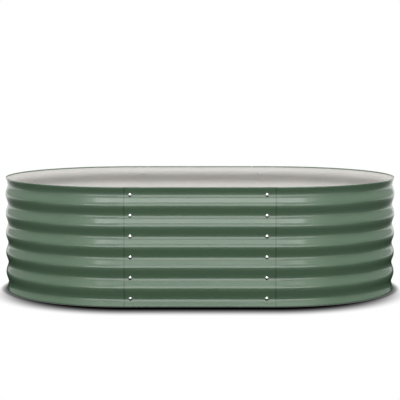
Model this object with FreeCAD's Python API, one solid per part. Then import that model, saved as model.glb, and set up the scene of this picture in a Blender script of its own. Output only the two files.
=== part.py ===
"""Oval raised garden bed of painted corrugated steel, open at the top and the bottom.

Two flat panels make the long sides and four quarter-round panels make the ends. The panels lap at
six upright seams, each held by one bolt in every valley of the wave. Lengths are in millimetres.
X runs along the bed, Y across it and Z up. The origin is the middle of the bed, on the ground.
"""

import FreeCAD, Part
import math
import os

# ---- Sheet and wave ----
SHEET = 0.8  # thickness of the painted sheet
WAVE_COUNT = 6  # valleys from the bottom edge to the top edge
WAVE_PITCH = 70.0  # height from one valley to the next
WAVE_DEPTH = 8.2  # from a ridge face to a valley face
VALLEY_FLOOR = 12.0  # height of a valley's upright floor
RIDGE_FACE = 12.0  # height of a ridge's upright face
FIRST_VALLEY = 27.0  # from the bottom or top edge to the middle of the nearest valley
RIM_FACE = 4.0  # height of the upright face at the bottom and top edges

# ---- Plan ----
END_RADIUS = 451.0  # round ends, to the outer ridge face
FLAT_PANEL_LENGTH = 508.0
ROUND_START = 2.0  # the round ends start this far inside the flat panels' edges
FLAT_LAP = 50.0  # overlap of a flat panel and a quarter panel
END_LAP = 50.0  # overlap of two quarter panels in the middle of an end, along the curve
LAP_GAP = 0.15  # air between lapped sheets, square to the wave's flanks
HEM_RELIEF = 2.0  # the outer sheet's hem stops this far before a lap

# ---- Seams ----
LEFT_BOLT_MARGIN = 20.0  # from a flat panel's left edge to its bolts, seen from outside
RIGHT_BOLT_MARGIN = 30.0  # from its right edge
SEAT_GAP = 0.2  # under a bolt's head and under a washer
HOLE_GAP = 0.25  # round the square neck

# ---- Cup-head bolt, M6 x 12 ----
SHANK_DIAMETER = 6.0
BOLT_LENGTH = 12.0  # under the head
HEAD_DIAMETER = 12.5
HEAD_HEIGHT = 3.0
DOME_STEPS = (1.0, 0.72, 0.34)  # where the dome's facets meet, as shares of the head's radius
NECK_STEP = 0.2  # the square neck is this much wider than the shank

# ---- Washer and hexagon nut ----
WASHER_DIAMETER = 12.0
WASHER_THICKNESS = 1.2
NUT_WIDTH = 10.0  # across flats
NUT_HEIGHT = 5.0
THREAD_GAP = 0.15  # between the shank and a bore
ROUND_SIDES = 8  # flats on the round forms of these small fasteners

# ---- Worked out from the sizes above ----
FLANK_RISE = (WAVE_PITCH - VALLEY_FLOOR - RIDGE_FACE) / 2
FLANK_ANGLE = math.atan2(WAVE_DEPTH, FLANK_RISE)
RIM_INSET = WAVE_DEPTH * (1 - (FIRST_VALLEY - VALLEY_FLOOR / 2 - RIM_FACE) / FLANK_RISE)
VALLEY_HEIGHTS = [FIRST_VALLEY + k * WAVE_PITCH for k in range(WAVE_COUNT)]
HEIGHT = VALLEY_HEIGHTS[-1] + FIRST_VALLEY
CORNER_SHIFT = SHEET * math.tan(FLANK_ANGLE / 2)
HEM_HEIGHT = RIM_FACE - CORNER_SHIFT
LAP_SHIFT = (SHEET + LAP_GAP) / math.cos(FLANK_ANGLE)
LAPPED_RADIUS = END_RADIUS - LAP_SHIFT
END_CENTRE = FLAT_PANEL_LENGTH / 2 - ROUND_START
TAB_LENGTH = FLAT_LAP - ROUND_START
NECK_LENGTH = LAP_SHIFT + SHEET
SHANK_RADIUS = SHANK_DIAMETER / 2
NECK_SIDE = SHANK_DIAMETER + NECK_STEP

ORIGIN = FreeCAD.Vector(0, 0, 0)
UP = FreeCAD.Vector(0, 0, 1)


def degrees_along(length, radius):
    """The angle that a length takes up on a circle."""
    return math.degrees(length / radius)


def face_from(points):
    """A flat face in the XZ plane from corners given as (distance outwards, height)."""
    corners = [FreeCAD.Vector(x, 0, z) for x, z in points]
    return Part.Face(Part.makePolygon(corners + corners[:1]))


# ---- The wave ----


def sheet_section(radius):
    """The corrugated sheet cut upright, with its outer ridge faces at the radius.

    The edges cut the wave between a valley and a ridge, so the rims stand in from the ridges.
    """
    rim = radius - RIM_INSET
    floor = radius - WAVE_DEPTH
    rim_corners = {(0, -1): (rim, RIM_FACE), (WAVE_COUNT - 1, 1): (rim, HEIGHT - RIM_FACE)}
    outer = [(rim, 0.0)]
    inner = [(rim - SHEET, 0.0)]
    for k, middle in enumerate(VALLEY_HEIGHTS):
        for side in (-1, 1):
            floor_end = middle + side * VALLEY_FLOOR / 2
            flank_end = rim_corners.get((k, side), (radius, floor_end + side * FLANK_RISE))
            corners = [flank_end, (floor, floor_end)]
            if side > 0:
                corners.reverse()
            outer += corners
            inner += [(x - SHEET, z + side * CORNER_SHIFT) for x, z in corners]
    outer.append((rim, HEIGHT))
    inner.append((rim - SHEET, HEIGHT))
    return face_from(outer + inner[::-1])


def hem_sections(radius):
    """The sheet's edge folded back flat on its inner side, at the bottom and at the top."""
    outside = radius - RIM_INSET - SHEET
    inside = outside - SHEET
    sections = []
    for low in (0.0, HEIGHT - HEM_HEIGHT):
        high = low + HEM_HEIGHT
        sections.append(face_from([(outside, low), (outside, high), (inside, high), (inside, low)]))
    return sections


# ---- Panels ----


def facing_front(section):
    """A section turned so that it faces outwards to the front, along -Y."""
    return section.rotated(ORIGIN, UP, -90)


def flat_run(section, start, length):
    """A front section drawn out along X."""
    run = facing_front(section)
    run.translate(FreeCAD.Vector(start, 0, 0))
    return run.extrude(FreeCAD.Vector(length, 0, 0))


def round_run(section, angle):
    """A front section swung from the front to the right."""
    return facing_front(section).revolve(ORIGIN, UP, angle)


def flat_panel():
    """The front flat panel. Its hem stops before the laps at both ends."""
    sheet = flat_run(sheet_section(END_RADIUS), -FLAT_PANEL_LENGTH / 2, FLAT_PANEL_LENGTH)
    hem_length = FLAT_PANEL_LENGTH - 2 * (FLAT_LAP + HEM_RELIEF)
    hems = [flat_run(s, -hem_length / 2, hem_length) for s in hem_sections(END_RADIUS)]
    return sheet.fuse(hems).removeSplitter()


def quarter_panel(outermost):
    """A quarter-round panel at the right front, about the origin, with a straight tab at its left end.

    At its other end it laps the next quarter panel. The outermost one there has no hem in the lap.
    """
    half_lap = degrees_along(END_LAP / 2, LAPPED_RADIUS)
    sheet_angle = 90 + half_lap
    hem_angle = sheet_angle
    if outermost:
        hem_angle = 90 - half_lap - degrees_along(HEM_RELIEF, LAPPED_RADIUS)
    section = sheet_section(LAPPED_RADIUS)
    pieces = [round_run(section, sheet_angle), flat_run(section, -TAB_LENGTH, TAB_LENGTH)]
    for hem in hem_sections(LAPPED_RADIUS):
        pieces += [round_run(hem, hem_angle), flat_run(hem, -TAB_LENGTH, TAB_LENGTH)]
    return pieces[0].fuse(pieces[1:]).removeSplitter()


def placed_quarter(side, end):
    """A quarter panel at the front or back (side -1 or 1) and left or right (end -1 or 1).

    The back panels lap over the front ones, so they stand out by one lapped sheet.
    """
    at_back = side > 0
    panel = quarter_panel(outermost=at_back)
    if at_back:
        panel = panel.mirror(ORIGIN, FreeCAD.Vector(0, 1, 0))
    panel.translate(FreeCAD.Vector(END_CENTRE + (LAP_SHIFT if at_back else 0.0), 0, 0))
    if end < 0:
        panel = panel.mirror(ORIGIN, FreeCAD.Vector(1, 0, 0))
    return panel


# ---- Bolts, washers and nuts, made about Z with the head up ----


def stack(sides, rings):
    """A solid through regular polygons given as (corner radius, height), one above the other."""
    wires = []
    for radius, height in rings:
        corners = []
        for k in range(sides):
            turn = 2 * math.pi * k / sides
            corners.append(FreeCAD.Vector(radius * math.cos(turn), radius * math.sin(turn), height))
        wires.append(Part.makePolygon(corners + corners[:1]))
    return Part.makeLoft(wires, True, True)


def bolt():
    """A smooth domed head on a square neck and a plain shank."""
    head_radius = HEAD_DIAMETER / 2
    dome_radius = (head_radius**2 + HEAD_HEIGHT**2) / (2 * HEAD_HEIGHT)
    dome = []
    for share in DOME_STEPS:
        radius = share * head_radius
        dome.append((radius, HEAD_HEIGHT - dome_radius + math.sqrt(dome_radius**2 - radius**2)))
    head = stack(ROUND_SIDES, dome)
    corner = FreeCAD.Vector(-NECK_SIDE / 2, -NECK_SIDE / 2, -NECK_LENGTH)
    neck = Part.makeBox(NECK_SIDE, NECK_SIDE, NECK_LENGTH, corner)
    shank = stack(ROUND_SIDES, [(SHANK_RADIUS, -BOLT_LENGTH), (SHANK_RADIUS, 0.0)])
    return head.fuse([neck, shank]).removeSplitter()


def bore(low, high):
    """The tool for a hole round the shank."""
    radius = SHANK_RADIUS + THREAD_GAP
    return stack(ROUND_SIDES, [(radius, low), (radius, high)])


def washer():
    """A washer against the inner sheet of a seam."""
    high = -(NECK_LENGTH + 2 * SEAT_GAP)
    low = high - WASHER_THICKNESS
    radius = WASHER_DIAMETER / 2
    return stack(ROUND_SIDES, [(radius, low), (radius, high)]).cut(bore(low, high))


def nut():
    """A hexagon nut on the washer."""
    high = -(NECK_LENGTH + 2 * SEAT_GAP + WASHER_THICKNESS)
    low = high - NUT_HEIGHT
    corner_radius = NUT_WIDTH / 2 / math.cos(math.radians(30))
    return stack(6, [(corner_radius, low), (corner_radius, high)]).cut(bore(low, high))


def square_hole():
    """The tool that punches both sheets of a seam for one bolt's neck."""
    side = NECK_SIDE + 2 * HOLE_GAP
    corner = FreeCAD.Vector(-side / 2, -side / 2, -BOLT_LENGTH)
    return Part.makeBox(side, side, 2 * BOLT_LENGTH, corner)


# ---- Seams ----


class Seam:
    """An upright lap with a bolt in every valley. It faces outwards at the angle, from +X."""

    def __init__(self, name, x, y, angle):
        self.name = name
        self.outside = FreeCAD.Vector(x, y, 0)
        self.angle = angle

    def column(self, piece):
        """One copy of a piece at every valley, with its +Z outwards."""
        piece = piece.rotated(ORIGIN, FreeCAD.Vector(0, 1, 0), 90)
        piece = piece.rotated(ORIGIN, UP, self.angle)
        outwards = FreeCAD.Vector(math.cos(math.radians(self.angle)), math.sin(math.radians(self.angle)), 0)
        foot = self.outside + outwards * (SEAT_GAP - WAVE_DEPTH)
        return [piece.translated(foot + UP * z) for z in VALLEY_HEIGHTS]


def all_seams():
    """The four seams beside the flat panels and the two in the middle of the ends."""
    left = LEFT_BOLT_MARGIN - FLAT_PANEL_LENGTH / 2
    right = FLAT_PANEL_LENGTH / 2 - RIGHT_BOLT_MARGIN
    end = END_CENTRE + END_RADIUS
    return [
        Seam("front_left", left, -END_RADIUS, -90),
        Seam("front_right", right, -END_RADIUS, -90),
        Seam("back_left", -right, END_RADIUS, 90),
        Seam("back_right", -left, END_RADIUS, 90),
        Seam("left_end", -end, 0, 180),
        Seam("right_end", end, 0, 0),
    ]


# ---- The whole bed ----


def panels():
    """Every panel by name, before its holes."""
    front = flat_panel()
    shapes = {"front_flat_panel": front, "back_flat_panel": front.rotated(ORIGIN, UP, 180)}
    for side, side_name in ((-1, "front"), (1, "back")):
        for end, end_name in ((-1, "left"), (1, "right")):
            shapes[f"{side_name}_{end_name}_curved_panel"] = placed_quarter(side, end)
    return shapes


def seam_panels(seam_name):
    """The names of the two panels that a seam joins."""
    if seam_name.endswith("_end"):
        end_name = seam_name.split("_")[0]
        return [f"front_{end_name}_curved_panel", f"back_{end_name}_curved_panel"]
    return [seam_name.split("_")[0] + "_flat_panel", seam_name + "_curved_panel"]


def build():
    """Every node's shape by name."""
    nodes = panels()
    for seam in all_seams():
        holes = seam.column(square_hole())
        for name in seam_panels(seam.name):
            nodes[name] = nodes[name].cut(holes)
        for plural, piece in (("bolts", bolt()), ("washers", washer()), ("nuts", nut())):
            nodes[f"{seam.name}_{plural}"] = Part.makeCompound(seam.column(piece))
    return nodes


os.makedirs("parts", exist_ok=True)
for node_name, shape in build().items():
    shape.exportStep(f"parts/{node_name}.step")
    box = shape.BoundBox
    size = f"{box.XLength:.1f} x {box.YLength:.1f} x {box.ZLength:.1f}"
    print(f"{node_name}: {len(shape.Solids)} solids, {size}")
print(f"bed: {2 * (END_CENTRE + END_RADIUS):.0f} x {2 * END_RADIUS:.0f} x {HEIGHT:.0f}")
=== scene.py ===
"""The looks of an oval raised garden bed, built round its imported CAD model.

Every sheet and fastener is a finished mesh that stands for its plain CAD node. Lengths are in metres.
X runs along the bed, Y from front to back and Z up, with the origin on the ground in the middle.
"""

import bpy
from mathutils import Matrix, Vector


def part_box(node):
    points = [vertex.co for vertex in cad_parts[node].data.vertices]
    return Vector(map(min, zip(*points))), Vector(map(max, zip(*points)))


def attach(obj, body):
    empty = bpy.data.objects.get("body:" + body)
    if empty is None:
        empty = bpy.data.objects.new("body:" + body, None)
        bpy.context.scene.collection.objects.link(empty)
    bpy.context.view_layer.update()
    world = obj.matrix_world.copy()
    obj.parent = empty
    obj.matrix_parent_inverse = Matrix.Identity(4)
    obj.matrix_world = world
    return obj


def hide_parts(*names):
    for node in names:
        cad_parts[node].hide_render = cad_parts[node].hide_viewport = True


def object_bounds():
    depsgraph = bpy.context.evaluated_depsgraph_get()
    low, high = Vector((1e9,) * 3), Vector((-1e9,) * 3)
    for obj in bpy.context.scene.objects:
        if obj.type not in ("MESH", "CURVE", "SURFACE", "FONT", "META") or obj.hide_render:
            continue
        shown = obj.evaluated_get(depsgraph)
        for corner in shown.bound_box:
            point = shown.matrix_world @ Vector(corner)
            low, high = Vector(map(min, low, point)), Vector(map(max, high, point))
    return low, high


bl_info = {
    "name": "Raised Garden Bed",
    "version": (1, 0, 0),
    "blender": (4, 5, 0),
    "location": "View3D > Sidebar > Garden Bed",
    "description": "Corrugated painted sheets, bolts and a plain studio for a raised garden bed",
    "category": "Add Mesh",
}

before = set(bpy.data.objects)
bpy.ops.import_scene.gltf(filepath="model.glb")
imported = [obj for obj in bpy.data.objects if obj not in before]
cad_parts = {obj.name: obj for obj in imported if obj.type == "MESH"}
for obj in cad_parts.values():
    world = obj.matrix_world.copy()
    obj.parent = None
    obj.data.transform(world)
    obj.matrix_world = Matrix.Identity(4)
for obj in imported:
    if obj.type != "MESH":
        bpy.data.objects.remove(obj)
CAD_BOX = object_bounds()

import math

import bmesh
import bpy
from mathutils import Matrix, Vector

SEAM_NAMES = ("front_left", "front_right", "back_left", "back_right", "left_end", "right_end")
SHEET_WELD = 1e-6
FASTENER_WELD = 1e-7
SLACK = 1e-5
SHEET_CREASE = math.radians(35)
FASTENER_CREASE = math.radians(32)


# ---- What a user can change ----


def length(name, description, default):
    """A property for a size in metres."""
    return bpy.props.FloatProperty(
        name=name, description=description, default=default, min=0, unit="LENGTH", subtype="DISTANCE",
        precision=5,
    )


def count(name, description, default):
    """A property for a number of valleys, facets or turns."""
    return bpy.props.IntProperty(name=name, description=description, default=default, min=1)


def colour(name, description, default):
    """A property for a paint or metal colour."""
    return bpy.props.FloatVectorProperty(
        name=name, description=description, default=default, size=3, min=0, max=1, subtype="COLOR",
    )


class GardenBedSizes(bpy.types.PropertyGroup):
    """Sizes of the sheets."""

    sheet: length("Sheet", "Thickness of the painted sheet", 0.0008)
    wave_pitch: length("Wave pitch", "Height from one valley to the next", 0.07)
    wave_depth: length("Wave depth", "From a ridge to a valley", 0.0082)
    wave_count: count("Valleys", "Valleys from bottom to top", 6)
    first_valley: length("First valley", "Height of the lowest valley's middle", 0.027)
    valley_floor: length("Valley floor", "Height of a valley's floor before its bends are rounded", 0.012)
    ridge_face: length("Ridge face", "Height of a ridge's face before its bends are rounded", 0.012)
    rim_face: length("Rim face", "Upright face at the bottom and top edges", 0.004)
    bend_reach: length("Bend reach", "How far a rounded bend runs along each face", 0.00595)
    rim_reach: length("Rim bend reach", "The same at the bends beside the rims", 0.0015)
    fold_radius: length("Fold radius", "Outer radius of the folded edge", 0.00085)
    hem: length("Hem", "Height of the folded edge", 0.0038)
    end_radius: length("End radius", "Radius of the round ends, to the outer ridges", 0.451)
    flat_length: length("Flat panel length", "Length of a flat panel", 0.508)
    round_start: length("Round start", "How far inside the flat panels' edges the ends start", 0.002)
    flat_lap: length("Flat lap", "Overlap of a flat and a curved panel", 0.05)
    end_lap: length("End lap", "Overlap of two curved panels", 0.05)
    lap_gap: length("Lap gap", "Air between lapped sheets", 0.00015)
    hem_relief: length("Hem relief", "The outer sheet's hem stops this far before a lap", 0.002)
    hole_side: length("Hole side", "Side of a punched square hole", 0.0067)
    bend_steps: count("Bend steps", "Facets in a rounded bend", 7)
    fold_steps: count("Fold steps", "Facets round the folded edge", 6)
    turn_steps: count("Turn steps", "Facets round a quarter", 60)


class GardenBedFasteners(bpy.types.PropertyGroup):
    """Sizes of the bolts, washers and nuts."""

    seat: length("Seat", "From a valley's floor out to the seat of a bolt's head", 0.0005)
    head_radius: length("Head radius", "Radius of a bolt's head", 0.00625)
    head_height: length("Head height", "Height of a bolt's head", 0.003)
    head_edge: length("Head edge", "Height of the upright edge of a bolt's head", 0.0004)
    neck_side: length("Neck side", "Side of a bolt's square neck", 0.0062)
    neck_length: length("Neck length", "Length of a bolt's square neck", 0.002)
    bolt_length: length("Bolt length", "From the head's seat to the bolt's end", 0.012)
    core_radius: length("Core radius", "Radius of a bolt's shank under its thread", 0.00262)
    crest_radius: length("Crest radius", "Radius at the crest of a bolt's thread", 0.003)
    thread_pitch: length("Thread pitch", "How far a thread climbs in a turn", 0.001)
    thread_turns: count("Thread turns", "Turns of a bolt's thread", 9)
    washer_start: length("Washer start", "From the head's seat in to the washer", 0.0023)
    washer_bore: length("Washer bore", "Radius of a washer's bore", 0.0032)
    washer_radius: length("Washer radius", "Outer radius of a washer", 0.006)
    washer_thickness: length("Washer thickness", "Thickness of a washer", 0.0012)
    nut_corner: length("Nut corner", "From a nut's middle to its corners", 0.00577)
    nut_thickness: length("Nut thickness", "Thickness of a nut", 0.005)


class GardenBedFinish(bpy.types.PropertyGroup):
    """Colours of the paint and the metal."""

    outside: colour("Outside", "Green paint of the outer side", (0.150, 0.252, 0.158))
    inside: colour("Inside", "Pale coat of the inner side", (0.80, 0.78, 0.745))
    cut_edge: colour("Cut edge", "Bare zinc at the sheets' cut edges", (0.25, 0.27, 0.25))
    bolt: colour("Bolts", "Polished steel of the bolts", (0.76, 0.79, 0.75))
    zinc: colour("Washers and nuts", "Plated steel of the washers and nuts", (0.62, 0.63, 0.62))


# ---- Shared making ----


def add_piece(context, name, bm, materials, nodes):
    """A finished mesh as a piece that rides on the bed and stands for its CAD nodes."""
    mesh = bpy.data.meshes.new(name)
    bm.to_mesh(mesh)
    bm.free()
    piece = bpy.data.objects.new(name, mesh)
    context.collection.objects.link(piece)
    for material in materials:
        mesh.materials.append(material)
    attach(piece, "root")
    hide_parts(*nodes)
    return piece


def verts_in(geometry):
    """The vertices among a mesh's parts."""
    return [part for part in geometry if isinstance(part, bmesh.types.BMVert)]


# ---- Corrugated sheets ----


def flank(sizes):
    """The height between a ridge's face and a valley's floor, and the flank's slope."""
    rise = (sizes.wave_pitch - sizes.valley_floor - sizes.ridge_face) / 2
    return rise, sizes.wave_depth / rise


def lap_shift(sizes):
    """How far a lapped sheet stands in, so that both waves nest with the lap's air between them."""
    return (sizes.sheet + sizes.lap_gap) * math.hypot(1, flank(sizes)[1])


def wave_corners(sizes, radius):
    """The outer face's corners from bottom to top, as (distance outwards, height, bend's reach).

    The edges cut the wave between a valley and a ridge, so the rims stand in from the ridges.
    """
    height = 2 * sizes.first_valley + (sizes.wave_count - 1) * sizes.wave_pitch
    floor = radius - sizes.wave_depth
    rim = floor + (sizes.first_valley - sizes.valley_floor / 2 - sizes.rim_face) * flank(sizes)[1]
    corners = [(rim, sizes.rim_face, sizes.rim_reach)]
    for k in range(sizes.wave_count):
        middle = sizes.first_valley + k * sizes.wave_pitch
        if k:
            ridge = middle - sizes.wave_pitch / 2
            corners.append((radius, ridge - sizes.ridge_face / 2, sizes.bend_reach))
            corners.append((radius, ridge + sizes.ridge_face / 2, sizes.bend_reach))
        for side in (-1, 1):
            corners.append((floor, middle + side * sizes.valley_floor / 2, sizes.bend_reach))
    corners.append((rim, height - sizes.rim_face, sizes.rim_reach))
    return corners, rim, height


def fold_points(sizes, radius):
    """The bottom edge's fold, from the top of the hem round to the outer face."""
    fold = sizes.fold_radius
    points = [(radius - 2 * fold, sizes.hem)]
    for k in range(sizes.fold_steps + 1):
        turn = math.pi * k / sizes.fold_steps
        points.append((radius - fold - fold * math.cos(turn), fold - fold * math.sin(turn)))
    return points


def sheet_line(bm, sizes, radius, hemmed):
    """The sheet's outer face as a line of edges in the YZ plane, facing the front, with rounded bends."""
    corners, rim, height = wave_corners(sizes, radius)
    if hemmed:
        low = fold_points(sizes, rim)
    else:
        low = [(rim, 0.0), (rim, sizes.fold_radius)]
    high = [(out, height - z) for out, z in reversed(low)]
    line = [(out, z, 0.0) for out, z in low] + corners + [(out, z, 0.0) for out, z in high]
    earlier = set(bm.edges)
    verts = [bm.verts.new((0, -out, z)) for out, z, _ in line]
    for pair in zip(verts, verts[1:]):
        bm.edges.new(pair)
    for reach in (sizes.rim_reach, sizes.bend_reach):
        bends = [v for v, (_, _, own) in zip(verts, line) if v.is_valid and own == reach]
        bmesh.ops.bevel(
            bm, geom=bends, offset=reach, offset_type="OFFSET", segments=sizes.bend_steps,
            profile=0.5, affect="VERTICES", clamp_overlap=False, material=-1,
        )
    edges = [e for e in bm.edges if e not in earlier]
    return list({v for e in edges for v in e.verts}), edges


def straight_run(bm, sizes, radius, start, end, hemmed):
    """A flat stretch of sheet along X, facing the front."""
    verts, edges = sheet_line(bm, sizes, radius, hemmed)
    bmesh.ops.translate(bm, verts=verts, vec=(start, 0, 0))
    made = bmesh.ops.extrude_edge_only(bm, edges=edges)["geom"]
    bmesh.ops.translate(bm, verts=verts_in(made), vec=(end - start, 0, 0))


def round_run(bm, sizes, radius, start, end, hemmed):
    """A stretch of sheet swung about Z from one angle to another. Angle 0 faces the front."""
    verts, edges = sheet_line(bm, sizes, radius, hemmed)
    bmesh.ops.rotate(bm, verts=verts, cent=(0, 0, 0), matrix=Matrix.Rotation(start, 3, "Z"))
    steps = max(1, round((end - start) / (math.pi / 2) * sizes.turn_steps))
    bmesh.ops.spin(
        bm, geom=verts + edges, cent=(0, 0, 0), axis=(0, 0, 1), dvec=(0, 0, 0),
        angle=end - start, steps=steps, use_merge=False, use_duplicate=False,
    )


def seams(sizes):
    """Each seam's name with the point on its valley floors and the direction that it faces."""
    front = sizes.end_radius - sizes.wave_depth
    end = sizes.flat_length / 2 - sizes.round_start + front
    for name in SEAM_NAMES:
        low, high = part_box(name + "_nuts")
        middle = (low + high) / 2
        if name.endswith("_end"):
            side = math.copysign(1, middle.x)
            yield name, Vector((side * end, 0, 0)), Vector((side, 0, 0))
        else:
            side = math.copysign(1, middle.y)
            yield name, Vector((middle.x, side * front, 0)), Vector((0, side, 0))


def seam_nodes(seam):
    """The CAD nodes of the two panels that a seam joins."""
    place, side = seam.split("_")
    if side == "end":
        return [f"front_{place}_curved_panel", f"back_{place}_curved_panel"]
    return [place + "_flat_panel", seam + "_curved_panel"]


def punch(bm, sizes, place, outwards):
    """Cuts the square holes of one seam through a sheet."""
    up = Vector((0, 0, 1))
    along = up.cross(outwards)
    half = sizes.hole_side / 2
    wall_reach = 0.02

    def spread(face, direction, middle):
        """The face's reach along a direction from a point."""
        reach = [(v.co - middle).dot(direction) for v in face.verts]
        return min(reach), max(reach)

    def crosses(face, direction, middle, side):
        """Whether the face lies on both sides of a cut."""
        low, high = spread(face, direction, middle)
        return low < side < high

    def fits(face, direction, middle):
        """Whether the face lies within a hole's width."""
        low, high = spread(face, direction, middle)
        return low > -half - SLACK and high < half + SLACK

    def near(face):
        """Whether the face is in the wall that has the seam, and not in the wall across the bed."""
        return (face.verts[0].co - place).dot(outwards) > -wall_reach

    def cut(faces, point, direction):
        """Splits faces along a plane."""
        edges = {e for f in faces for e in f.edges}
        verts = {v for f in faces for v in f.verts}
        geom = list(verts) + list(edges) + faces
        bmesh.ops.bisect_plane(bm, geom=geom, dist=SHEET_WELD, plane_co=point, plane_no=direction)

    for side in (-half, half):
        crossed = [f for f in bm.faces if crosses(f, along, place, side) and near(f)]
        cut(crossed, place + along * side, along)
    strip = [f for f in bm.faces if fits(f, along, place) and near(f)]
    for k in range(sizes.wave_count):
        spot = place + up * (sizes.first_valley + k * sizes.wave_pitch)
        for side in (-half, half):
            crossed = [f for f in strip if crosses(f, up, spot, side)]
            known = set(bm.faces)
            cut(crossed, spot + up * side, up)
            strip += [f for f in bm.faces if f not in known]
        hole = [f for f in strip if fits(f, up, spot)]
        strip = [f for f in strip if f not in hole]
        bmesh.ops.delete(bm, geom=hole, context="FACES")


def finish_sheet(context, name, bm, cad_node):
    """Joins a sheet's runs, punches its holes, gives it its thickness and makes it a piece."""
    sizes = context.scene.garden_bed_sizes
    bmesh.ops.remove_doubles(bm, verts=bm.verts, dist=SHEET_WELD)
    for seam, place, outwards in seams(sizes):
        if cad_node in seam_nodes(seam):
            punch(bm, sizes, place, outwards)
    looks = [green_paint(context), pale_coat(context), cut_zinc(context)]
    piece = add_piece(context, name, bm, looks, [cad_node])
    thick = piece.modifiers.new("Sheet thickness", "SOLIDIFY")
    thick.thickness = sizes.sheet
    thick.offset = -1
    thick.use_even_offset = True
    thick.use_quality_normals = True
    thick.material_offset = 1
    thick.material_offset_rim = 2
    thickened = piece.evaluated_get(context.evaluated_depsgraph_get())
    mesh = bpy.data.meshes.new_from_object(thickened)
    piece.modifiers.clear()
    piece.data = mesh
    mesh.name = name
    mesh.shade_smooth()
    mesh.set_sharp_from_angle(angle=SHEET_CREASE)


def face_outwards(bm):
    """Turns the sheet's faces so that they look away from the origin."""
    bmesh.ops.recalc_face_normals(bm, faces=bm.faces)
    widest = max(bm.faces, key=lambda f: f.calc_area())
    if widest.normal.dot(widest.calc_center_median()) < 0:
        bmesh.ops.reverse_faces(bm, faces=bm.faces)


def flat_sheet(sizes):
    """The front flat sheet. Its hem stops before the laps at both ends."""
    bm = bmesh.new()
    half = sizes.flat_length / 2
    hemmed = half - sizes.flat_lap - sizes.hem_relief
    straight_run(bm, sizes, sizes.end_radius, -half, -hemmed, False)
    straight_run(bm, sizes, sizes.end_radius, -hemmed, hemmed, True)
    straight_run(bm, sizes, sizes.end_radius, hemmed, half, False)
    bmesh.ops.remove_doubles(bm, verts=bm.verts, dist=SHEET_WELD)
    face_outwards(bm)
    return bm


def curved_sheet(sizes, outermost):
    """The quarter-round sheet at the right front, about its own centre, with a straight tab at its left."""
    bm = bmesh.new()
    radius = sizes.end_radius - lap_shift(sizes)
    half_lap = sizes.end_lap / 2 / radius
    last = math.pi / 2 + half_lap
    hemmed = last
    if outermost:
        hemmed = math.pi / 2 - half_lap - sizes.hem_relief / radius
    straight_run(bm, sizes, radius, sizes.round_start - sizes.flat_lap, 0.0, True)
    round_run(bm, sizes, radius, 0.0, hemmed, True)
    if outermost:
        round_run(bm, sizes, radius, hemmed, last, False)
    bmesh.ops.remove_doubles(bm, verts=bm.verts, dist=SHEET_WELD)
    face_outwards(bm)
    return bm


def turn_over(bm, axis):
    """Mirrors a sheet across the middle plane square to an axis."""
    bmesh.ops.scale(bm, verts=bm.verts, vec=[-1 if k == axis else 1 for k in range(3)])
    bmesh.ops.reverse_faces(bm, faces=bm.faces)


class GARDENBED_OT_flat_panels(bpy.types.Operator):
    """Make the front and back flat panels"""

    bl_idname = "gardenbed.flat_panels"
    bl_label = "Flat panels"

    def execute(self, context):
        sizes = context.scene.garden_bed_sizes
        for side, turn in (("front", 0.0), ("back", math.pi)):
            bm = flat_sheet(sizes)
            bmesh.ops.rotate(bm, verts=bm.verts, cent=(0, 0, 0), matrix=Matrix.Rotation(turn, 3, "Z"))
            finish_sheet(context, side + "_flat_sheet", bm, side + "_flat_panel")
        return {"FINISHED"}


class GARDENBED_OT_curved_panels(bpy.types.Operator):
    """Make the four quarter-round panels. The back ones lap over the front ones at both ends"""

    bl_idname = "gardenbed.curved_panels"
    bl_label = "Curved panels"

    def execute(self, context):
        sizes = context.scene.garden_bed_sizes
        centre = sizes.flat_length / 2 - sizes.round_start
        back_shift = CAD_BOX[1].x - centre - sizes.end_radius + lap_shift(sizes)
        for side, shift in (("front", 0.0), ("back", back_shift)):
            for end in ("left", "right"):
                bm = curved_sheet(sizes, outermost=side == "back")
                if side == "back":
                    turn_over(bm, 1)
                bmesh.ops.translate(bm, verts=bm.verts, vec=(centre + shift, 0, 0))
                if end == "left":
                    turn_over(bm, 0)
                name = f"{side}_{end}_curved"
                finish_sheet(context, name + "_sheet", bm, name + "_panel")
        return {"FINISHED"}


# ---- Fasteners, made about Z with the head up and the head's seat at 0 ----


def spun(bm, points, steps):
    """A round solid from its outline, given as (radius, height)."""
    others = set(bm.verts)
    verts = [bm.verts.new((radius, 0, z)) for radius, z in points]
    edges = [bm.edges.new(pair) for pair in zip(verts, verts[1:])]
    bmesh.ops.spin(
        bm, geom=verts + edges, cent=(0, 0, 0), axis=(0, 0, 1), dvec=(0, 0, 0),
        angle=2 * math.pi, steps=steps, use_merge=True, use_duplicate=False,
    )
    made = [v for v in bm.verts if v not in others]
    bmesh.ops.remove_doubles(bm, verts=made, dist=FASTENER_WELD)


def cup_head(bm, sizes):
    """A bolt's head: a flat seat, a short upright edge and a dome that is part of a ball."""
    softened, dome_steps, facets = 0.0003, 8, 28
    head, rise, edge = sizes.head_radius, sizes.head_height, sizes.head_edge
    ball = (head**2 + (rise - edge) ** 2) / (2 * (rise - edge))
    lean = math.asin(head / ball)
    outline = [(0.0, 0.0), (head - softened, 0.0), (head, softened / 2), (head, edge)]
    for k in range(1, dome_steps + 1):
        turn = lean * (1 - k / dome_steps)
        outline.append((ball * math.sin(turn), rise - ball + ball * math.cos(turn)))
    spun(bm, outline, facets)


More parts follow.
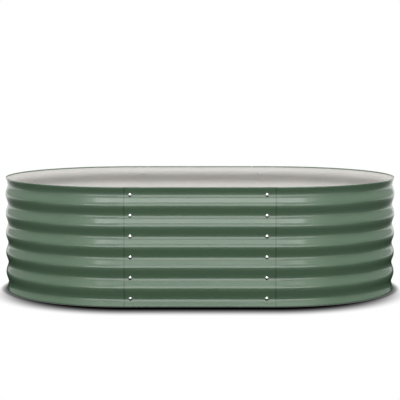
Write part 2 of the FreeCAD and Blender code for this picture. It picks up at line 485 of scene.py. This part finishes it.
def square_neck(bm, sizes):
    """A bolt's neck with rounded corners, which runs into the head by a little."""
    into_head, corner = 0.0001, 0.0005
    high = sizes.neck_length + into_head
    made = bmesh.ops.create_cube(bm, size=1.0)["verts"]
    bmesh.ops.scale(bm, verts=made, vec=(sizes.neck_side, sizes.neck_side, high))
    bmesh.ops.translate(bm, verts=made, vec=(0, 0, into_head - high / 2))
    edges = {e for v in made for e in v.link_edges}
    upright = [e for e in edges if abs(e.verts[0].co.z - e.verts[1].co.z) > high / 2]
    bmesh.ops.bevel(
        bm, geom=upright, offset=corner, offset_type="OFFSET", segments=2, profile=0.5,
        affect="EDGES", clamp_overlap=True, material=-1,
    )


def thread(bm, sizes, low, facets):
    """A ridge that climbs round Z, its foot and its ends sunk into the core.

    Its section is given as (radius, share of the pitch).
    """
    foot_sunk, end_sunk = 0.00002, 0.0002
    foot, crest, pitch = sizes.core_radius - foot_sunk, sizes.crest_radius, sizes.thread_pitch
    section = [(foot, 0.0), (crest, 0.42), (crest, 0.52), (foot, 0.94)]
    verts = [bm.verts.new((radius, 0, low + pitch * share)) for radius, share in section]
    edges = [bm.edges.new(pair) for pair in zip(verts, verts[1:] + verts[:1])]
    face = bm.faces.new(verts)
    made = bmesh.ops.spin(
        bm, geom=[face] + verts + edges, cent=(0, 0, 0), axis=(0, 0, 1), dvec=(0, 0, pitch / facets),
        angle=2 * math.pi * sizes.thread_turns, steps=sizes.thread_turns * facets,
        use_merge=False, use_duplicate=False,
    )
    for v in verts + verts_in(made["geom_last"]):
        flat = Vector((v.co.x, v.co.y, 0))
        if flat.length > foot + SLACK:
            v.co -= flat.normalized() * (flat.length - foot + end_sunk)


def bolt(bm, sizes):
    """A smooth cup head with a softened edge, a square neck and a threaded shank."""
    tip, thread_start, into_neck, facets = 0.0004, 0.0003, 0.0002, 16
    cup_head(bm, sizes)
    square_neck(bm, sizes)
    core, low, high = sizes.core_radius, -sizes.bolt_length, into_neck - sizes.neck_length
    spun(bm, [(0.0, low), (core - tip, low), (core, low + tip), (core, high), (0.0, high)], facets)
    thread(bm, sizes, low + thread_start, facets)


def washer(bm, sizes):
    """A flat washer with softened edges."""
    soft, facets = 0.0002, 32
    inner, outer, high = sizes.washer_bore, sizes.washer_radius, -sizes.washer_start
    low = high - sizes.washer_thickness
    outline = [
        (inner, low + soft), (inner + soft, low), (outer - soft, low), (outer, low + soft),
        (outer, high - soft), (outer - soft, high), (inner + soft, high), (inner, high - soft),
        (inner, low + soft),
    ]
    spun(bm, outline, facets)


def nut(bm, sizes):
    """A hexagon nut with turned-off corners and a countersunk bore."""
    corner_across, corner_lift = 0.0011, 0.0007
    face_width, bore_rim, sink_width, sink_depth = 0.0014, 0.0035, 0.00035, 0.0004
    nearly_level, least_area = 0.9, 4e-5
    high = -sizes.washer_start - sizes.washer_thickness
    low = high - sizes.nut_thickness
    middle = (high + low) / 2
    made = bmesh.ops.create_cone(
        bm, cap_ends=True, segments=6, radius1=sizes.nut_corner, radius2=sizes.nut_corner,
        depth=sizes.nut_thickness,
    )["verts"]
    bmesh.ops.translate(bm, verts=made, vec=(0, 0, middle))

    def caps():
        """The top and the bottom face, each with its direction along Z and its height."""
        for face in [f for f in bm.faces if abs(f.normal.z) > nearly_level and f.calc_area() > least_area]:
            up = math.copysign(1, face.calc_center_median().z - middle)
            yield face, up, high if up > 0 else low

    for cap, up, level in caps():
        corners = bmesh.ops.bevel(
            bm, geom=list(cap.verts), offset=corner_across, offset_type="OFFSET", segments=1, profile=0.5,
            affect="VERTICES", clamp_overlap=True, material=-1,
        )
        for v in corners["verts"]:
            if abs(v.co.z - level) > SHEET_WELD:
                v.co.z += up * corner_lift
    bore_ends = []
    for cap, up, level in caps():
        bmesh.ops.inset_individual(bm, faces=[cap], thickness=face_width, use_even_offset=True)
        for v in cap.verts:
            v.co = Vector((0, 0, level)) + Vector((v.co.x, v.co.y, 0)).normalized() * bore_rim
        bmesh.ops.inset_individual(bm, faces=[cap], thickness=sink_width, use_even_offset=True)
        for v in cap.verts:
            v.co.z -= up * sink_depth
        bore_ends.append(cap)
    edges = [e for f in bore_ends for e in f.edges]
    bmesh.ops.delete(bm, geom=bore_ends, context="FACES_ONLY")
    bmesh.ops.bridge_loops(bm, edges=edges)


def column(context, seam, place, outwards, make, kind, look):
    """One fastener's mesh repeated up a seam, as one piece."""
    sizes, fasteners = context.scene.garden_bed_sizes, context.scene.garden_bed_fasteners
    bm = bmesh.new()
    make(bm, fasteners)
    bmesh.ops.recalc_face_normals(bm, faces=bm.faces)
    turn = outwards.to_track_quat("Z", "Y").to_matrix()
    bmesh.ops.rotate(bm, verts=bm.verts, cent=(0, 0, 0), matrix=turn)
    first = list(bm.verts) + list(bm.edges) + list(bm.faces)
    seat = place + outwards * fasteners.seat
    heights = [sizes.first_valley + k * sizes.wave_pitch for k in range(sizes.wave_count)]
    for height in heights[1:]:
        made = bmesh.ops.duplicate(bm, geom=first)["geom"]
        bmesh.ops.translate(bm, verts=verts_in(made), vec=seat + Vector((0, 0, height)))
    bmesh.ops.translate(bm, verts=verts_in(first), vec=seat + Vector((0, 0, heights[0])))
    piece = add_piece(context, f"{seam}_{kind}_set", bm, [look], [f"{seam}_{kind}s"])
    piece.data.shade_smooth()
    piece.data.set_sharp_from_angle(angle=FASTENER_CREASE)


def columns(context, make, kind, look):
    """A column of one kind of fastener at every seam."""
    for seam, place, outwards in seams(context.scene.garden_bed_sizes):
        column(context, seam, place, outwards, make, kind, look)


class GARDENBED_OT_bolts(bpy.types.Operator):
    """Make the cup-head bolts of every seam"""

    bl_idname = "gardenbed.bolts"
    bl_label = "Bolts"

    def execute(self, context):
        columns(context, bolt, "bolt", bolt_steel(context))
        return {"FINISHED"}


class GARDENBED_OT_washers(bpy.types.Operator):
    """Make the washers behind every bolt"""

    bl_idname = "gardenbed.washers"
    bl_label = "Washers"

    def execute(self, context):
        columns(context, washer, "washer", plated_zinc(context))
        return {"FINISHED"}


class GARDENBED_OT_nuts(bpy.types.Operator):
    """Make the hexagon nuts behind every bolt"""

    bl_idname = "gardenbed.nuts"
    bl_label = "Nuts"

    def execute(self, context):
        columns(context, nut, "nut", plated_zinc(context))
        return {"FINISHED"}


# ---- Nodes ----


def node(tree, kind, inputs=None, **settings):
    """A node with its settings, and with each input as a value or as the socket that it is linked to."""
    made = tree.nodes.new(kind)
    for name, value in settings.items():
        setattr(made, name, value)
    for socket, source in (inputs or {}).items():
        if isinstance(source, bpy.types.NodeSocket):
            tree.links.new(source, made.inputs[socket])
        else:
            made.inputs[socket].default_value = source
    return made


def maths(tree, operation, *values, **settings):
    """The result of a Math node."""
    return node(tree, "ShaderNodeMath", dict(enumerate(values)), operation=operation, **settings).outputs[0]


def mixed(tree, share, first, second):
    """A value between two others."""
    return node(tree, "ShaderNodeMix", {0: share, 2: first, 3: second}, data_type="FLOAT").outputs[0]


def scaled(tree, tint, factor):
    """A colour made darker or lighter."""
    return node(tree, "ShaderNodeVectorMath", {0: tint, "Scale": factor}, operation="SCALE").outputs[0]


def smooth_ramp(tree, value, start, end, low=0.0, high=1.0):
    """A soft step from one value to another."""
    return node(
        tree, "ShaderNodeMapRange",
        {"Value": value, "From Min": start, "From Max": end, "To Min": low, "To Max": high},
        interpolation_type="SMOOTHSTEP",
    ).outputs[0]


def object_place(tree):
    """The X, Y and Z of a point on a piece."""
    where = node(tree, "ShaderNodeTexCoord").outputs["Object"]
    return node(tree, "ShaderNodeSeparateXYZ", {0: where}).outputs


def is_glossy(tree):
    """1 for reflected rays."""
    return node(tree, "ShaderNodeLightPath").outputs["Is Glossy Ray"]


# ---- Materials ----


def fine_surface():
    """The group with the fine ripple, tint drift and gloss drift that every surface has."""
    if "Fine surface" in bpy.data.node_groups:
        return bpy.data.node_groups["Fine surface"]
    tree = bpy.data.node_groups.new("Fine surface", "ShaderNodeTree")
    for name, kind, default in (
        ("Colour", "NodeSocketColor", (0.5, 0.5, 0.5, 1)),
        ("Drift", "NodeSocketFloat", 0.06),
        ("Roughness", "NodeSocketFloat", 0.35),
        ("Ripple size", "NodeSocketFloat", 700.0),
    ):
        tree.interface.new_socket(name, in_out="INPUT", socket_type=kind).default_value = default
    for name, kind in (
        ("Colour", "NodeSocketColor"), ("Roughness", "NodeSocketFloat"), ("Height", "NodeSocketFloat"),
    ):
        tree.interface.new_socket(name, in_out="OUTPUT", socket_type=kind)
    given = tree.nodes.new("NodeGroupInput").outputs
    where = node(tree, "ShaderNodeTexCoord").outputs["Object"]
    broad = node(tree, "ShaderNodeTexNoise", {"Vector": where, "Scale": 6.0, "Detail": 4.0})
    fine = node(tree, "ShaderNodeTexNoise", {"Vector": where, "Scale": 90.0, "Detail": 3.0})
    ripple = node(tree, "ShaderNodeTexNoise", {"Vector": where, "Scale": given["Ripple size"], "Detail": 2.0})
    drift = maths(tree, "ADD", maths(tree, "ADD", broad.outputs["Fac"], fine.outputs["Fac"]), -1.0)
    tint_factor = maths(tree, "MULTIPLY_ADD", drift, given["Drift"], 1.0)
    gloss_drift = 0.12
    results = {
        "Colour": scaled(tree, given["Colour"], tint_factor),
        "Roughness": maths(tree, "MULTIPLY_ADD", drift, gloss_drift, given["Roughness"]),
        "Height": ripple.outputs["Fac"],
    }
    node(tree, "NodeGroupOutput", results)
    return tree


def seam_shade(tree, sizes, tint):
    """The colour, darkened by painted shade in the step along the edge of each lap."""
    spot = object_place(tree)
    flat_edge = maths(tree, "SUBTRACT", maths(tree, "ABSOLUTE", spot["X"]), sizes.flat_length / 2)
    end_edge = maths(tree, "SUBTRACT", spot["Y"], -sizes.end_lap / 2)
    nearest = maths(tree, "MINIMUM", maths(tree, "ABSOLUTE", flat_edge), maths(tree, "ABSOLUTE", end_edge))
    # Painted shade: the colour darkens within a few millimetres of each lap's edge.
    return scaled(tree, tint, smooth_ramp(tree, nearest, start=0.0, end=0.0045, low=0.66))


def surfaced(name, tone, drift, roughness, ripple, bump, seam_sizes=None):
    """A material with the fine surface, and with painted shade along the laps where sizes are given.

    Its shader comes with it, or None where the material is already made.
    """
    if name in bpy.data.materials:
        return bpy.data.materials[name], None
    made = bpy.data.materials.new(name)
    made.use_nodes = True
    tree = made.node_tree
    tree.nodes.clear()
    skin = node(
        tree, "ShaderNodeGroup",
        {"Colour": (*tone, 1), "Drift": drift, "Roughness": roughness, "Ripple size": ripple},
        node_tree=fine_surface(),
    ).outputs
    tint = skin["Colour"]
    # Painted shade along the lap edges, where sizes are given.
    if seam_sizes:
        tint = seam_shade(tree, seam_sizes, tint)
    bumps = node(tree, "ShaderNodeBump", {"Height": skin["Height"], "Strength": 1.0, "Distance": bump})
    shader = node(
        tree, "ShaderNodeBsdfPrincipled",
        {"Base Color": tint, "Roughness": skin["Roughness"], "Normal": bumps.outputs[0]},
    )
    node(tree, "ShaderNodeOutputMaterial", {"Surface": shader.outputs[0]})
    return made, shader


def coated(name, paint, gloss, **surface):
    """A coated sheet's material."""
    made, shader = surfaced(name, paint, **surface)
    if shader:
        shader.inputs["IOR"].default_value = 1.6
        shader.inputs["Specular IOR Level"].default_value = gloss
    return made


def metal(name, tone, roughness, ripple):
    """A bare metal's material."""
    made, shader = surfaced(name, tone, drift=0.12, roughness=roughness, ripple=ripple, bump=0.00001)
    if shader:
        shader.inputs["Metallic"].default_value = 1.0
    return made


def green_paint(context):
    """Satin green paint of the outer side."""
    return coated(
        "Green paint", context.scene.garden_bed_finish.outside, gloss=0.7, drift=0.05, roughness=0.16,
        ripple=420.0, bump=0.000004, seam_sizes=context.scene.garden_bed_sizes,
    )


def pale_coat(context):
    """Thin pale backing coat of the inner side."""
    return coated(
        "Pale coat", context.scene.garden_bed_finish.inside, gloss=0.4, drift=0.06, roughness=0.46,
        ripple=600.0, bump=0.00001,
    )


def cut_zinc(context):
    """Bare zinc at the sheets' cut edges."""
    return metal("Cut zinc", context.scene.garden_bed_finish.cut_edge, roughness=0.5, ripple=900.0)


def bolt_steel(context):
    """Polished steel of the bolts."""
    return metal("Bolt steel", context.scene.garden_bed_finish.bolt, roughness=0.27, ripple=1500.0)


def plated_zinc(context):
    """Zinc plating of the washers and the nuts."""
    return metal("Zinc plate", context.scene.garden_bed_finish.zinc, roughness=0.36, ripple=1200.0)


# ---- Stage ----

# Each light panel's name, then its bearing from the front, its elevation, its width and its height in
# degrees, and its brightness.
LIGHTS = (
    ("Low front light", 0, 4, 80, 8, 2.0),
    ("Low middle light", 0, 13.5, 20, 10, 1.1),
    ("Middle front light", 0, 33, 66, 10, 2.5),
    ("Middle left light", -39, 33, 10, 10, 1.3),
    ("Middle right light", 39, 33, 10, 10, 1.3),
    ("High front light", 0, 68.5, 74, 13, 10.5),
    ("Left light", -95, 50, 50, 30, 3.5),
    ("Right light", 95, 50, 50, 30, 3.5),
    ("Back left light", -150, 35, 40, 40, 1.5),
    ("Back right light", 150, 35, 40, 40, 1.5),
)
LIGHT_DISTANCE = 6.0
LIGHT_TARGET = Vector((0, 0, 0.2))
CAMERA_PLACE = (0, -5.4329, 0.86366)
CAMERA_TILT = math.radians(84.24)
CAMERA_LENS = 135.4
WHITE = (1, 1, 1, 1)
GREY = (0.2, 0.2, 0.2, 1)


def light_panel(context, name, turn, lift, wide, high, brightness):
    """A soft light panel on a sphere round the bed, facing its middle."""
    turn, lift = math.radians(turn), math.radians(lift)
    lamp = bpy.data.lights.new(name, "AREA")
    lamp.shape = "RECTANGLE"
    lamp.size = 2 * LIGHT_DISTANCE * math.cos(lift) * math.tan(math.radians(wide) / 2)
    lamp.size_y = 2 * LIGHT_DISTANCE * math.tan(math.radians(high) / 2)
    lamp.energy = brightness * math.pi * lamp.size * lamp.size_y
    away = Vector((math.sin(turn) * math.cos(lift), -math.cos(turn) * math.cos(lift), math.sin(lift)))
    panel = bpy.data.objects.new(name, lamp)
    panel.location = away * LIGHT_DISTANCE + LIGHT_TARGET
    panel.rotation_euler = (-away).to_track_quat("-Z", "Y").to_euler()
    context.collection.objects.link(panel)


def seen_or_bounced(tree, seen, bounced):
    """One shader for camera, glossy and transmission rays and another for the bounced light."""
    path = node(tree, "ShaderNodeLightPath").outputs
    direct = maths(tree, "MAXIMUM", path["Is Camera Ray"], path["Is Glossy Ray"])
    direct = maths(tree, "MAXIMUM", direct, path["Is Transmission Ray"])
    both = node(tree, "ShaderNodeMixShader", {0: direct, 1: bounced.outputs[0], 2: seen.outputs[0]})
    return both.outputs[0]


def outline_gap(tree, sizes, forward=0.0, shorter=0.0):
    """How far a floor point is outside the bed's outline.

    The outline can be moved forward, with its ends drawn in.
    """
    spot = object_place(tree)
    half_flat = sizes.flat_length / 2 - shorter
    past = maths(tree, "SUBTRACT", maths(tree, "ABSOLUTE", spot["X"]), half_flat, use_clamp=True)
    across = maths(tree, "ADD", spot["Y"], forward)
    flat = node(tree, "ShaderNodeCombineXYZ", {"X": past, "Y": across})
    away = node(tree, "ShaderNodeVectorMath", {0: flat.outputs[0]}, operation="LENGTH")
    return maths(tree, "SUBTRACT", away.outputs["Value"], sizes.end_radius)


def floor_material(sizes):
    """White with the bed's soft shadow painted on by the distance from its outline, and a grey for the
    bounced light.

    The painted shadow falls forward, and the floor inside the bed is painted darkest close to the sheets.
    Reflections see one wider painted shadow in its place.
    """
    made = bpy.data.materials.new("Studio floor")
    made.use_nodes = True
    tree = made.node_tree
    tree.nodes.clear()
    # Painted shadow: the floor's white is darkened by its distance from the bed's outline, cast forward, with
    # painted contact shade close to the sheets. The lamps play no part in it.
    gap = outline_gap(tree, sizes)
    painted_cast_shadow = smooth_ramp(tree, outline_gap(tree, sizes, forward=0.12, shorter=0.01), start=-0.1, end=0.055)
    steepness = 1.5
    painted_cast_shadow = maths(tree, "POWER", painted_cast_shadow, steepness)
    beside = smooth_ramp(tree, maths(tree, "ABSOLUTE", gap), start=0.0, end=0.022, low=0.3)
    outside = maths(tree, "MULTIPLY", painted_cast_shadow, beside)
    inside = smooth_ramp(tree, gap, start=0.0, end=-0.3, low=0.15, high=0.8)
    shadow = mixed(tree, maths(tree, "LESS_THAN", gap, 0.0), outside, inside)
    # Painted shadow for reflections, wider than the one the camera sees.
    reflected = smooth_ramp(tree, gap, start=0.3, end=2.6)
    white = node(tree, "ShaderNodeEmission", {"Strength": mixed(tree, is_glossy(tree), shadow, reflected)})
    grey = node(tree, "ShaderNodeBsdfDiffuse", {"Color": GREY})
    node(tree, "ShaderNodeOutputMaterial", {"Surface": seen_or_bounced(tree, white, grey)})
    return made


def studio_floor(context):
    """A wide floor just under the bed."""
    half_side, drop = 40, 0.0003
    bm = bmesh.new()
    bmesh.ops.create_grid(bm, x_segments=1, y_segments=1, size=half_side)
    bmesh.ops.translate(bm, verts=bm.verts, vec=(0, 0, -drop))
    mesh = bpy.data.meshes.new("Studio floor")
    bm.to_mesh(mesh)
    bm.free()
    floor = bpy.data.objects.new("Studio floor", mesh)
    mesh.materials.append(floor_material(context.scene.garden_bed_sizes))
    context.collection.objects.link(floor)


def studio_world(context):
    """A white backdrop, dimmer at the sides and the back in reflections, and weak bounced light."""
    side_share, bounced_share = 0.45, 0.07
    world = bpy.data.worlds.new("Studio")
    context.scene.world = world
    world.use_nodes = True
    tree = world.node_tree
    tree.nodes.clear()
    where = node(tree, "ShaderNodeTexCoord").outputs["Generated"]
    facing = node(tree, "ShaderNodeSeparateXYZ", {0: where}).outputs
    reflected = smooth_ramp(tree, facing["Y"], start=-0.8, end=-0.4, low=1.0, high=side_share)
    strength = mixed(tree, is_glossy(tree), 1.0, reflected)
    backdrop = node(tree, "ShaderNodeBackground", {"Color": WHITE, "Strength": strength})
    soft = node(tree, "ShaderNodeBackground", {"Color": WHITE, "Strength": bounced_share})
    node(tree, "ShaderNodeOutputWorld", {"Surface": seen_or_bounced(tree, backdrop, soft)})


def studio_camera(context):
    """The camera at the photograph's angle."""
    lens = bpy.data.cameras.new("Camera")
    lens.sensor_width = 36
    lens.lens = CAMERA_LENS
    lens.clip_start = 0.1
    lens.clip_end = 200
    camera = bpy.data.objects.new("Camera", lens)
    camera.location = CAMERA_PLACE
    camera.rotation_euler = (CAMERA_TILT, 0, 0)
    context.collection.objects.link(camera)
    context.scene.camera = camera


class GARDENBED_OT_stage(bpy.types.Operator):
    """Make the floor, the studio light and the camera"""

    bl_idname = "gardenbed.stage"
    bl_label = "Stage"

    def execute(self, context):
        studio_floor(context)
        studio_world(context)
        for light in LIGHTS:
            light_panel(context, *light)
        studio_camera(context)
        context.scene.view_settings.view_transform = "Standard"
        return {"FINISHED"}


# ---- The add-on ----


class GARDENBED_PT_sidebar(bpy.types.Panel):
    """The garden bed's pieces, sizes and colours"""

    bl_label = "Raised Garden Bed"
    bl_idname = "GARDENBED_PT_sidebar"
    bl_space_type = "VIEW_3D"
    bl_region_type = "UI"
    bl_category = "Garden Bed"

    def draw(self, context):
        scene = context.scene
        for operator in OPERATORS:
            self.layout.operator(operator.bl_idname)
        for group in (scene.garden_bed_sizes, scene.garden_bed_fasteners, scene.garden_bed_finish):
            for name in group.bl_rna.properties.keys():
                if name not in ("rna_type", "name"):
                    self.layout.prop(group, name)


OPERATORS = (
    GARDENBED_OT_flat_panels,
    GARDENBED_OT_curved_panels,
    GARDENBED_OT_bolts,
    GARDENBED_OT_washers,
    GARDENBED_OT_nuts,
    GARDENBED_OT_stage,
)
CLASSES = (GardenBedSizes, GardenBedFasteners, GardenBedFinish) + OPERATORS + (GARDENBED_PT_sidebar,)


def register():
    for made in CLASSES:
        bpy.utils.register_class(made)
    bpy.types.Scene.garden_bed_sizes = bpy.props.PointerProperty(type=GardenBedSizes)
    bpy.types.Scene.garden_bed_fasteners = bpy.props.PointerProperty(type=GardenBedFasteners)
    bpy.types.Scene.garden_bed_finish = bpy.props.PointerProperty(type=GardenBedFinish)


def unregister():
    del bpy.types.Scene.garden_bed_finish
    del bpy.types.Scene.garden_bed_fasteners
    del bpy.types.Scene.garden_bed_sizes
    for made in reversed(CLASSES):
        bpy.utils.unregister_class(made)


def main():
    register()
    bpy.ops.gardenbed.flat_panels()
    bpy.ops.gardenbed.curved_panels()
    bpy.ops.gardenbed.bolts()
    bpy.ops.gardenbed.washers()
    bpy.ops.gardenbed.nuts()
    bpy.ops.gardenbed.stage()


if __name__ == "__main__":
    main()
